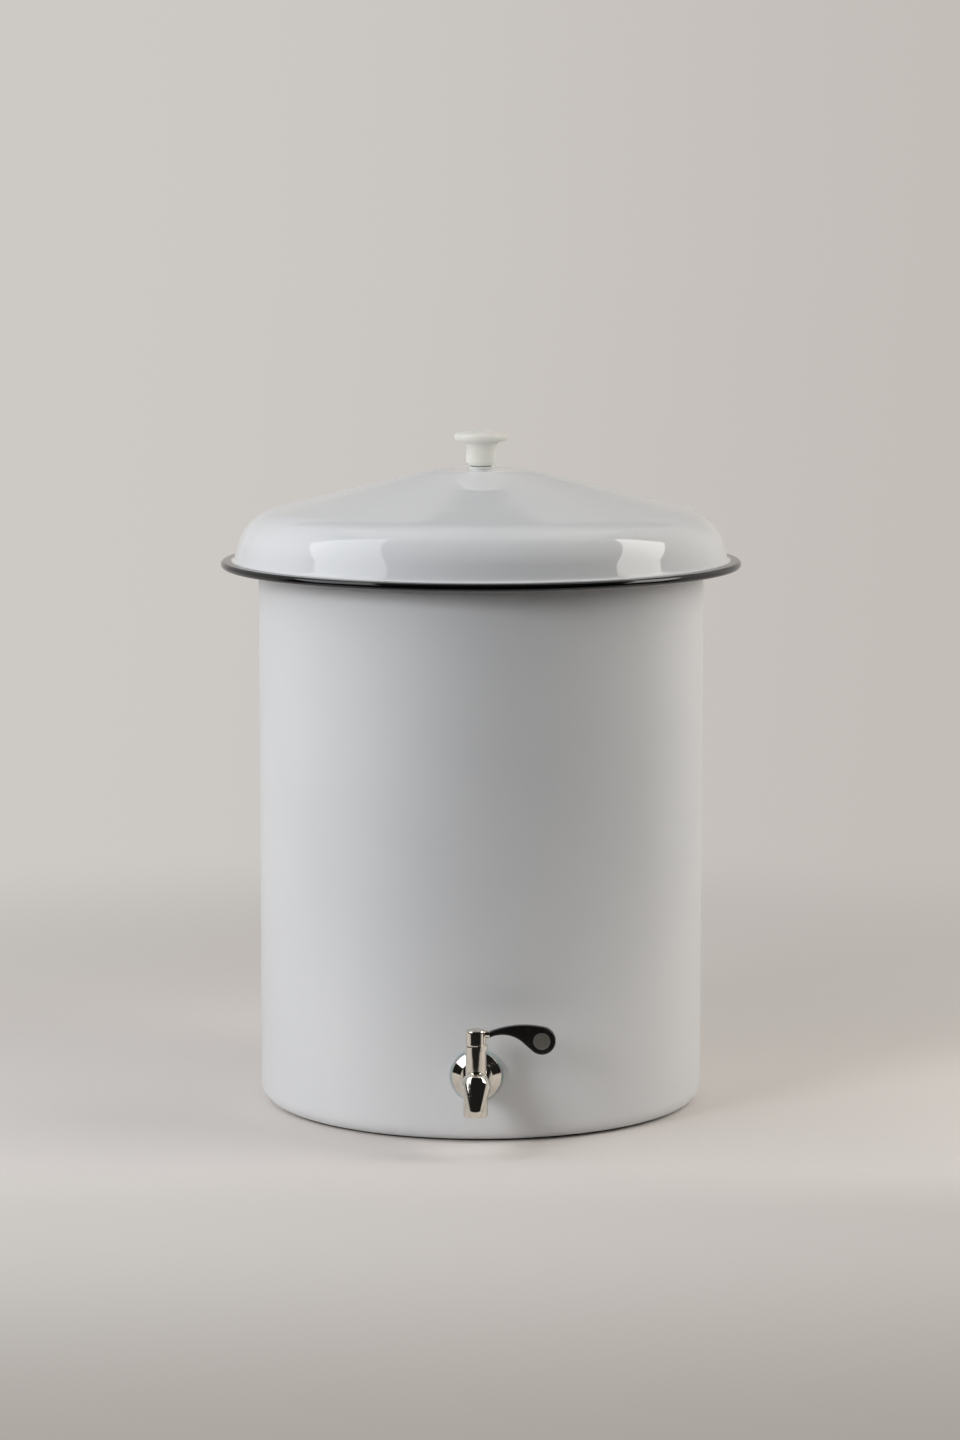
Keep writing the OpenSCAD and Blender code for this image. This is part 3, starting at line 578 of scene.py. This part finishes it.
# Knob: a creamy white moulding like a small mushroom, with a waisted stem and a thick round edge. A faint
# parting line runs round the edge. A brass insert in its foot takes the screw from under the lid.
knob_low, knob_high = (corner.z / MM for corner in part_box("lid_knob"))
knob_h = knob_high - knob_low
knob_r, knob_edge_r, knob_dome = 19.0, 3.1, 1.6
stem_r, foot_r = 10.5, 8.4
swell_r, throat_z = 3.2, 0.42 * knob_h               # the foot swells out and the throat is its narrow place
insert_bore, insert_depth = 4.05, 12.05
edge_z = knob_h - knob_dome - knob_edge_r
throat_r = 1.25 * (edge_z - knob_edge_r - throat_z)
knob = solid("cream_knob", revolve(np.vstack([
    [(0, insert_depth), (insert_bore, insert_depth), (insert_bore, 0)],
    rounded((insert_bore + 1, 0), (foot_r, 0, 0.45), (foot_r + 0.4, 1.2)),
    arc((stem_r - swell_r, swell_r), swell_r, -30, 0, 8),
    arc((stem_r + throat_r, throat_z), throat_r, 180, 138, 20),
    arc((knob_r - knob_edge_r, edge_z), knob_edge_r, -50, 76, 28),
    [(across * knob_r, knob_h - fall * knob_dome) for across, fall in ((0.45, 0.15), (0.2, 0.03), (0, 0))],
]) + (0, knob_low), 192))
cream = Finish("cream_moulding", {"Roughness": 0.26, "IOR": 1.49, "Subsurface_Weight": 0.15,
                                  "Subsurface_Scale": 0.004})
handled = cream.noise(70, 4)
cream.set(Base_Color=cream.colours(handled, rgb(0.860, 0.855, 0.785), rgb(0.930, 0.920, 0.860)),
          Roughness=handled * 0.10 + 0.24)
parting = 1 - (cream.z - (knob_low + edge_z) * MM).size().rise(0.00003, 0.00016)
cream.bump(parting, 0.00005)
cream.bump(cream.noise(1100), 0.000008)
cream.paint(knob)
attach(knob, "lid")
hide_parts("lid_knob")

cut_brass = Finish("turned_brass", {"Metallic": 1.0})
tarnish = cut_brass.noise(210, 4).rise(0.35, 0.75)
cut_brass.set(Base_Color=cut_brass.colours(tarnish, rgb(0.780, 0.600, 0.300), rgb(0.560, 0.400, 0.180)),
              Roughness=tarnish * 0.15 + 0.24)
cut_brass.bump(cut_brass.noise(1, 2, cut_brass.pack(cut_brass.z * 9000, cut_brass.noise(30))), 0.00001)
cut_brass.paint(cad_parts["knob_insert"])


# Screw and washer: plain turned stainless steel. From under the crown the screw runs through the washer, the
# lid and the collar into the knob's insert and clamps them together. Its head has a cross slot.
washer_low, washer_high = (corner.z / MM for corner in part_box("knob_washer"))
washer_r = 7.5
washer = solid("lid_washer", revolve(
    flat_ring(knob_hole_r, washer_r, washer_low, washer_high, 0.3, 0.12), 96))
screw_low, screw_high = (corner.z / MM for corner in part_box("knob_screw"))
head_r, head_flat_r, head_crown, thread_r = 4.8, 3.6, 1.0, 2.5
screw = solid("lid_screw", revolve(rounded(
    (0, screw_low), (head_flat_r, screw_low, 0.5), (head_r, screw_low + head_crown, 0.5),
    (head_r, washer_low, 0.15), (thread_r, washer_low), (thread_r, screw_high, 0.4), (0, screw_high)), 96))


def slab(low, high):
    """The four sides of a plain block between two opposite corners, for cutting slots."""
    (x0, y0, z0), (x1, y1, z1) = low, high
    ring = [(x0, y0), (x1, y0), (x1, y1), (x0, y1)]
    points = np.array([[(x, y, z) for x, y in ring] for z in (z0, z1)], float)
    return grid(points)


slot_long, slot_half, slot_deep = 2.6, 0.5, 1.5
for half_x, half_y in ((slot_long, slot_half), (slot_half, slot_long)):
    slot = slab((-half_x, -half_y, screw_low - 1), (half_x, half_y, screw_low + slot_deep))
    carve(screw, solid("slot", slot, ([0, 1, 2, 3], [4, 5, 6, 7])))
plain_steel = Finish("turned_steel", {"Metallic": 1.0})
brush = plain_steel.noise(1, 3, plain_steel.pack(plain_steel.away() * 2600, plain_steel.z * 2600))
plain_steel.set(Base_Color=plain_steel.colours(brush, rgb(0.56, 0.55, 0.54), rgb(0.68, 0.67, 0.65)),
                Roughness=brush * 0.14 + 0.20)
plain_steel.bump(brush, 0.000012)
plain_steel.bump(plain_steel.noise(240, 3), 0.00002)
plain_steel.paint(washer, screw)
for hardware, stands_for in ((washer, "knob_washer"), (screw, "knob_screw")):
    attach(hardware, "lid")
    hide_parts(stands_for)


# Tap body: cast stainless steel, polished. A threaded shank runs through the wall; outside it a round barrel
# ends in a ball that turns down into the spout, and an upright neck holds the valve. All of it is hollow.
shank_r, water_r, slide_gap = 8.0, 4.0, 0.05
thread_pitch, thread_depth = 1.5, 0.75
gasket_t, flange_front = 2.0, 8.0
barrel_r, valve_out, spout_out = 9.6, 30.0, 41.0
elbow_r, spout_r, spout_bore_r = 10.2, 8.3, 5.2
elbow_out, dome_z = 36.0, -8.5
nose_r, nose_out, nose_z = 4.9, 49.4, -14.0
spout_drop, spout_lip = 19.5, 0.8
neck_r, neck_h, neck_bore_r = 7.0, 26.5, 5.6
roof_low, roof_r, roof_top = -3.0, 1.56, 0.64        # the passage ends in a cone inside the elbow
chamber_r, chamber_floor, chamber_top = 4.9, -6.0, 8.5
stop_depth, stop_wall = 2.6, 0.15
stop_from, stop_to = -78, 38                         # degrees round the neck that the stop's notch takes up
shank_in = -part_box("tap_body")[1].y / MM - wall_r
joint_at = 3.0                                       # the shank meets the casting inside the flange


def upright(surface, out):
    """Stands a surface on an upright axis that far out from the wall, at the height of the shank's axis."""
    points, faces = surface
    return points + (0, -wall_r - out, tap_z), faces


# Thread: the radius swings between crest and root in step with distance / pitch minus angle / full turn. It
# starts at the root and fades out at the wall. Plain rows for the joint and the water way close the ring.
thread_rows = np.arange(shank_in, -container_sheet, thread_pitch / 8)[:, None]
turn = np.linspace(0, 2 * np.pi, 96, endpoint=False)
wave = np.abs(2 * ((thread_rows / thread_pitch - turn / (2 * np.pi)) % 1) - 1)
fade = np.clip((-container_sheet - thread_rows) / thread_pitch, 0, 1)
lead = np.clip((thread_rows - shank_in) / thread_pitch, 0, 1)
thread = np.minimum(shank_r - thread_depth * wave * fade, shank_r - thread_depth * (1 - lead))
plain_rows = np.array([(joint_at, shank_r), (joint_at, water_r), (shank_in, water_r)])[..., None]
shank_grid = np.vstack([polar(thread, turn, thread_rows), polar(plain_rows[:, 1], turn, plain_rows[:, 0])])
shank = solid("tap_shank", on_tap(grid(shank_grid, rows=True)))

casting = solid("tap_casting", on_tap(revolve(rounded(
    (0, joint_at), (shank_r, joint_at), (shank_r, flange_front), (barrel_r, flange_front, 0.3),
    (barrel_r, elbow_out), (0, elbow_out)), 192)))

# Nose: a ball drawn out forwards and down to a smaller ball, with a cone that touches both.
nose_l = math.hypot(nose_out - elbow_out, nose_z)
nose_cone = math.degrees(math.asin((elbow_r - nose_r) / nose_l))
nose_tilt = math.atan2(nose_out - elbow_out, -nose_z)


def along_nose(surface):
    """Turns a surface so that its height runs forwards and down, along the nose."""
    points, faces = surface
    x, y, z = points.T
    forwards = y * math.cos(nose_tilt) + z * math.sin(nose_tilt)
    upwards = y * math.sin(nose_tilt) - z * math.cos(nose_tilt)
    return upright((np.stack([x, -forwards, upwards], -1), faces), elbow_out)


carve(casting, solid("nose", along_nose(revolve(np.vstack([
    arc((0, 0), elbow_r, -90, nose_cone, 60), arc((0, nose_l), nose_r, nose_cone, 90, 40)]), 192))), "UNION")
carve(casting, solid("spout", upright(revolve(np.vstack([
    arc((0, dome_z), spout_r, 90, 0, 30),
    rounded((spout_r, dome_z - 1), (spout_r, -spout_drop, spout_lip), (0, -spout_drop)),
]), 192), spout_out)), "UNION")
carve(casting, solid("neck", upright(revolve(rounded(
    (0, 0), (neck_r, 0), (neck_r, neck_h, 0.25), (0, neck_h)), 192), valve_out)), "UNION")
# Water way: along the shank, down through the spout, and up into the valve's chamber and the neck.
carve(casting, solid("way", on_tap(rod(water_r, joint_at - 1, spout_out))))
carve(casting, solid("passage", upright(revolve([
    (0, -spout_drop - 1), (spout_bore_r, -spout_drop - 1), (spout_bore_r, roof_low),
    (roof_r, roof_top), (0, roof_top)], 96), spout_out)))
carve(casting, solid("chamber", upright(rod(chamber_r, chamber_floor, chamber_top + 1), valve_out)))
carve(casting, solid("neck_bore", upright(rod(neck_bore_r, chamber_top, neck_h + 1, 192), valve_out)))


def sector(inner, outer, low, high, start, end, steps=48):
    """A piece of a square ring between two angles, and the numbers of the corners of its two flat ends."""
    section = [(inner, low), (outer, low), (outer, high), (inner, high)]
    made = revolve(section, steps, rows=True, sweep=(start, end))
    ends = [[k * steps for k in range(4)], [k * steps + steps - 1 for k in range(4)]]
    return made, ends


notch, notch_ends = sector(neck_bore_r - stop_wall, neck_r + 1, neck_h - stop_depth, neck_h + 1,
                           stop_from, stop_to)
carve(casting, solid("notch", upright(notch, valve_out), notch_ends))

polished = Finish("polished_steel", {"Metallic": 1.0})
buffed = polished.noise(60, 4).rise(0.35, 0.75)
strokes = polished.noise(1, 3, polished.pack(polished.x * 2500, polished.y * 2500, polished.z * 300))
polished.set(Base_Color=polished.colours(buffed, rgb(0.75, 0.71, 0.63), rgb(0.81, 0.77, 0.69)),
             Roughness=buffed * 0.03 + strokes * 0.02 + 0.035)
polished.bump(polished.noise(150), 0.00003)
polished.bump(strokes, 0.0000008)
polished.paint(casting, shank)
for piece in (casting, shank):
    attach(piece, "container")
    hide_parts("tap_body")


# Flange: a cone turned from stainless steel and polished. It slides on the shank up to the casting's shoulder
# and presses the gasket flat against the wall.
flange_r, flange_nose, flange_rim, flange_bore = 16.9, 11.2, 1.4, shank_r + slide_gap
flange = solid("conical_flange", on_tap(revolve(rounded(
    (flange_bore, gasket_t + 1), (flange_bore, gasket_t, 0.1), (flange_r, gasket_t, 0.15),
    (flange_r, gasket_t + flange_rim, 0.35), (flange_nose, flange_front, 0.5),
    (flange_bore, flange_front, 0.1), (flange_bore, gasket_t + 1)), 256)))
polished.paint(flange)
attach(flange, "container")
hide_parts("tap_flange")


# Gaskets: two soft silicone rings, one on each side of the wall. Each is flat towards the metal and curved
# to the wall's own radius on its other side.
def gasket(name, outer, flat, wall_radius):
    """A ring round the shank. Its section runs between the flat side and the wall, whose distance out at a
    sideways place x is sqrt(wall radius^2 - x^2) - outside radius."""
    inner = shank_r + slide_gap
    edge = 0.04
    corners = (0.5, 0), (0, 0, edge), (0, 1, edge), (1, 1, edge), (1, 0, edge), (0.5, 0)
    section = rounded(*corners, steps=5)[:-1]
    a = np.linspace(0, 2 * np.pi, 160, endpoint=False)
    across, share = section.T[..., None]
    radius = inner + (outer - inner) * across
    curve = np.sqrt(wall_radius ** 2 - (radius * np.cos(a)) ** 2) - wall_r
    return solid(name, on_tap(grid(polar(radius, a, curve * (1 - share) + flat * share), rows=True)))


seal_out = -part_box("inner_gasket")[1].y / MM - wall_r
wall_seal_r, inner_seal_r, seal_gap = 18.8, 14.0, 0.01
wall_seal = gasket("wall_gasket", wall_seal_r, gasket_t, wall_r + seal_gap)
inner_seal = gasket("inner_seal", inner_seal_r, seal_out, wall_in - seal_gap)
silicone = Finish("pale_silicone", {"IOR": 1.41, "Subsurface_Weight": 0.35, "Subsurface_Scale": 0.003,
                                    "Transmission_Weight": 0.15})
haze = silicone.noise(120, 3)
silicone.set(Base_Color=silicone.colours(haze, rgb(0.600, 0.690, 0.710), rgb(0.680, 0.760, 0.780)),
             Roughness=haze * 0.15 + 0.28)
silicone.bump(silicone.noise(900), 0.00001)
silicone.paint(wall_seal, inner_seal)
for seal, stands_for in ((wall_seal, "outer_gasket"), (inner_seal, "inner_gasket")):
    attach(seal, "container")
    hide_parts(stands_for)


# Washer and nut: plain stainless steel, on the shank inside the container, where they clamp the tap against
# the wall. The nut is a hexagon whose corners are turned round and chamfered.
washer_in = -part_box("inner_washer")[1].y / MM - wall_r
nut_in = -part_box("tap_nut")[1].y / MM - wall_r
nut_t, nut_flat, nut_turned = 7.0, 12.0, 13.6
nut_chamfer, nut_edge, nut_bore_edge = 1.2, 0.15, 0.4
nut_out = nut_in + nut_t
seal_washer_r = 13.5
seal_washer = solid("seal_washer", on_tap(revolve(
    flat_ring(shank_r + slide_gap, seal_washer_r, washer_in, seal_out, 0.25, 0.1), 128)))
# Nut: at each angle the side is a hexagon's, flat / cos(angle from the flat's middle), cut back to a circle.
a = np.linspace(0, 2 * np.pi, 240, endpoint=False)
hexagon = nut_flat / np.cos((a + np.pi / 6) % (np.pi / 3) - np.pi / 6)
at_flats, at_corners = np.minimum(hexagon, nut_flat), np.minimum(hexagon, nut_turned)
nut_rows = [(nut_in + nut_bore_edge, shank_r + slide_gap), (nut_in, shank_r + 0.5), (nut_in, nut_flat - 0.4),
            (nut_in + 0.3, at_flats), (nut_in + nut_chamfer, at_corners),
            (nut_out - nut_edge, at_corners), (nut_out, at_corners - nut_edge),
            (nut_out, shank_r + slide_gap)]
nut_grid = np.stack([polar(r, a, out) for out, r in nut_rows])
nut = solid("hex_nut", on_tap(grid(nut_grid, rows=True)))
plain_steel.paint(seal_washer, nut)
for hardware, stands_for in ((seal_washer, "inner_washer"), (nut, "tap_nut")):
    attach(hardware, "container")
    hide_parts(stands_for)


# Valve: a turned steel plug in a low-friction sleeve, two O-rings, a washer and a slotted brass nut.
# They sit inside the neck, so their plain turned forms are enough, with the finishes of the real ones.
slippery = Finish("low_friction_plastic", {"Roughness": 0.42, "Subsurface_Weight": 0.1})
slippery.set(Base_Color=slippery.colours(slippery.noise(300, 3), rgb(0.84, 0.84, 0.82),
                                         rgb(0.90, 0.90, 0.88)))
slippery.bump(slippery.noise(1, 2, slippery.pack(slippery.z * 7000, slippery.noise(40))), 0.000008)
slippery.paint(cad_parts["valve_sleeve"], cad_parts["thrust_washer"])
ring_rubber = Finish("ring_rubber", {"Specular_IOR_Level": 0.4})
ring_rubber.set(Base_Color=ring_rubber.colours(ring_rubber.noise(500), rgb(0.012, 0.012, 0.012),
                                               rgb(0.030, 0.029, 0.028)),
                Roughness=ring_rubber.noise(900) * 0.2 + 0.35)
ring_rubber.bump(ring_rubber.noise(2500), 0.000006)
ring_rubber.paint(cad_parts["plug_o_rings"])
plain_steel.paint(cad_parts["valve_plug"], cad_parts["cap_grub_screw"],
                  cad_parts["lever_stud"])
cut_brass.paint(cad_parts["gland_nut"])


# Cap: a polished steel cap that a grub screw holds on the plug's stem. A short boss carries the lever, and a
# lug under its edge runs in the neck's notch and stops the lever at both ends of its quarter turn.
cap_low, cap_h = neck_h + 0.4, 11.0
cap_top = cap_low + cap_h
cap_r, cap_top_r, cap_round, cap_edge = 7.0, 6.75, 1.8, 1.0
socket_r, socket_top = 3.3, cap_top - 3.1
arm_root_x, arm_root_mid = 9.3, cap_top - 3.25
boss_r, boss_end = 2.5, arm_root_x - 0.2
lug_from, lug_to = 13, 37                            # degrees round the stem
lug_gap, lug_inset, lug_root = 0.3, 0.2, 1.3
grub_z, grub_bore = cap_low + 0.42 * cap_h, 1.55

cap = solid("handle_cap_skin", upright(revolve(np.vstack([
    [(0, socket_top)],
    rounded((socket_r, socket_top), (socket_r, cap_low, 0.15), (cap_r, cap_low, cap_edge),
            (cap_top_r, cap_top, cap_round), (0, cap_top))]), 192), valve_out))


def sideways(surface, height):
    """Lays a surface's height along +X at that height over the shank, through the valve's axis."""
    points, faces = surface
    x, y, z = points.T
    return upright((np.stack([z, y, height - x], -1), faces), valve_out)


carve(cap, solid("boss", sideways(rod(boss_r, 0.5, boss_end), arm_root_mid)), "UNION")
lug, lug_ends = sector(neck_bore_r + stop_wall, cap_r - lug_inset,
                       neck_h - stop_depth + lug_gap, cap_low + lug_root, lug_from, lug_to, 24)
carve(cap, solid("lug", upright(lug, valve_out), lug_ends), "UNION")
carve(cap, solid("socket", upright(rod(socket_r, cap_low - 1, socket_top), valve_out)))
points, faces = rod(grub_bore, socket_r - 0.6, cap_r + 2)
x, y, z = points.T
carve(cap, solid("grub_hole", upright((np.stack([x, z, grub_z + y], -1), faces), valve_out)))
polished.paint(cap)
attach(cap, "tap_handle")
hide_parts("handle_cap")


# Lever: a black moulding 6 mm thick with rounded edges, a slim arm that widens to a round end. A plain satin
# steel disc is let into the front of the round end.
lever_t, lever_edge = 6.0, 1.1
lever_reach, paddle_r = 54.0, 9.4
paddle_drop = 4.1                                    # the round end hangs lower than the arm's root
paddle_at = np.array([lever_reach - paddle_r, arm_root_mid - paddle_drop])
# In the blade's plane, the upper edge is part of a wide crest circle that touches the round end from outside
# it, and the lower edge is a hollow circle next to the round end. Both begin at the arm's root.
crest_r, crest_x = 64.4, lever_reach - 21
crest_fall = math.sqrt((crest_r - paddle_r) ** 2 - (paddle_at[0] - crest_x) ** 2)
crest_at = np.array([crest_x, paddle_at[1] - crest_fall])
hollow_x, hollow_rise = arm_root_x + 8.8, 0.05
hollow_fall = paddle_drop + hollow_rise
hollow_reach = paddle_r + 1.4476                     # from the hollow's curve to the middle of the round end
hollow_run = paddle_at[0] - hollow_x
hollow_r = (hollow_run ** 2 + hollow_fall ** 2 - hollow_reach ** 2) / (2 * (hollow_fall + hollow_reach))
hollow_at = np.array([hollow_x, arm_root_mid + hollow_rise - hollow_r])
link = paddle_at - hollow_at
link_turn = math.degrees(math.atan2(link[1], link[0])
                         + math.acos((hollow_r + paddle_r) / np.linalg.norm(link)))
crest_turn = math.degrees(math.atan2(*(paddle_at - crest_at)[::-1]))
hollow_from = math.degrees(math.acos((arm_root_x - hollow_at[0]) / hollow_r))
crest_to = math.degrees(math.acos((arm_root_x - crest_x) / crest_r))

outline = np.vstack([
    arc(hollow_at, hollow_r, hollow_from, link_turn, 36),
    arc(paddle_at, paddle_r, link_turn - 180, crest_turn, 72),
    arc(crest_at, crest_r, crest_turn, crest_to, 48)[1:]])


def inset(line, depth):
    """A closed line moved in by depth: each point goes along the middle of its two sides' normals."""
    before, after = line - np.roll(line, 1, 0), np.roll(line, -1, 0) - line
    sides = [np.stack([-s[:, 1], s[:, 0]], -1) / np.linalg.norm(s, axis=1)[:, None] for s in (before, after)]
    middle = sides[0] + sides[1]
    middle /= np.linalg.norm(middle, axis=1)[:, None]
    return line + middle * depth / np.maximum((middle * sides[0]).sum(1), 0.5)[:, None]


# Lever's rows, as (depth in from the outline, place through the thickness): half a turn round each edge.
turns = [math.radians(t) for t in np.linspace(90, -90, 15) if round(t)]
lever_flat = lever_t / 2 - lever_edge
lever_rows = [(lever_edge * (1 - math.cos(t)), lever_flat * np.sign(t) + lever_edge * math.sin(t))
              for t in turns]
lever_rows = [(lever_edge + 0.3, lever_t / 2), *lever_rows, (lever_edge + 0.3, -lever_t / 2)]
lever_grid = np.stack([np.insert(inset(outline, depth), 1, y, axis=1) for depth, y in lever_rows])
lever_surface = upright(grid(lever_grid), valve_out)
n = len(outline)
last = n * (len(lever_rows) - 1)
lever = solid("lever_moulding", lever_surface, (range(n), range(last, last + n)))
disc_r, disc_t, disc_proud = 5.8, 1.2, 0.2


def on_paddle(surface):
    """Turns a surface so that its height runs out of the lever's front face at the round end."""
    points, faces = surface
    x, y, z = points.T
    return upright((np.stack([paddle_at[0] + x, -lever_t / 2 - z, paddle_at[1] + y], -1), faces), valve_out)


carve(lever, solid("recess", on_paddle(rod(disc_r + slide_gap, disc_proud - disc_t, 1))))
black_plastic = Finish("black_moulding", {"IOR": 1.49})
handling = black_plastic.noise(90, 4).rise(0.4, 0.75)
black_plastic.set(Base_Color=black_plastic.colours(handling, rgb(0.0045, 0.0042, 0.0038),
                                                   rgb(0.0085, 0.0080, 0.0074)),
                  Roughness=handling * 0.10 + 0.26)
black_plastic.bump(black_plastic.noise(1500, 3), 0.00001)
black_plastic.bump(black_plastic.noise(60), 0.00004)
black_plastic.paint(lever)
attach(lever, "tap_handle")
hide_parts("handle_lever")

disc = solid("satin_disc_face", on_paddle(revolve(rounded(
    (0, disc_proud - disc_t), (disc_r, disc_proud - disc_t, 0.1), (disc_r, disc_proud, 0.25),
    (0, disc_proud)), 96)))
satin = Finish("satin_metal", {"Metallic": 1.0})
disc_x, disc_z = paddle_at[0] * MM, (tap_z + paddle_at[1]) * MM
lathe = ((satin.x - disc_x) ** 2 + (satin.z - disc_z) ** 2) ** 0.5
circles = satin.noise(1, 3, satin.pack(lathe * 7000, satin.noise(20)))
satin.set(Base_Color=satin.colours(circles, rgb(0.30, 0.295, 0.275), rgb(0.40, 0.39, 0.365)),
          Roughness=circles * 0.12 + 0.34)
satin.bump(circles, 0.00001)
satin.paint(disc)
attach(disc, "tap_handle")
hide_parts("lever_disc")
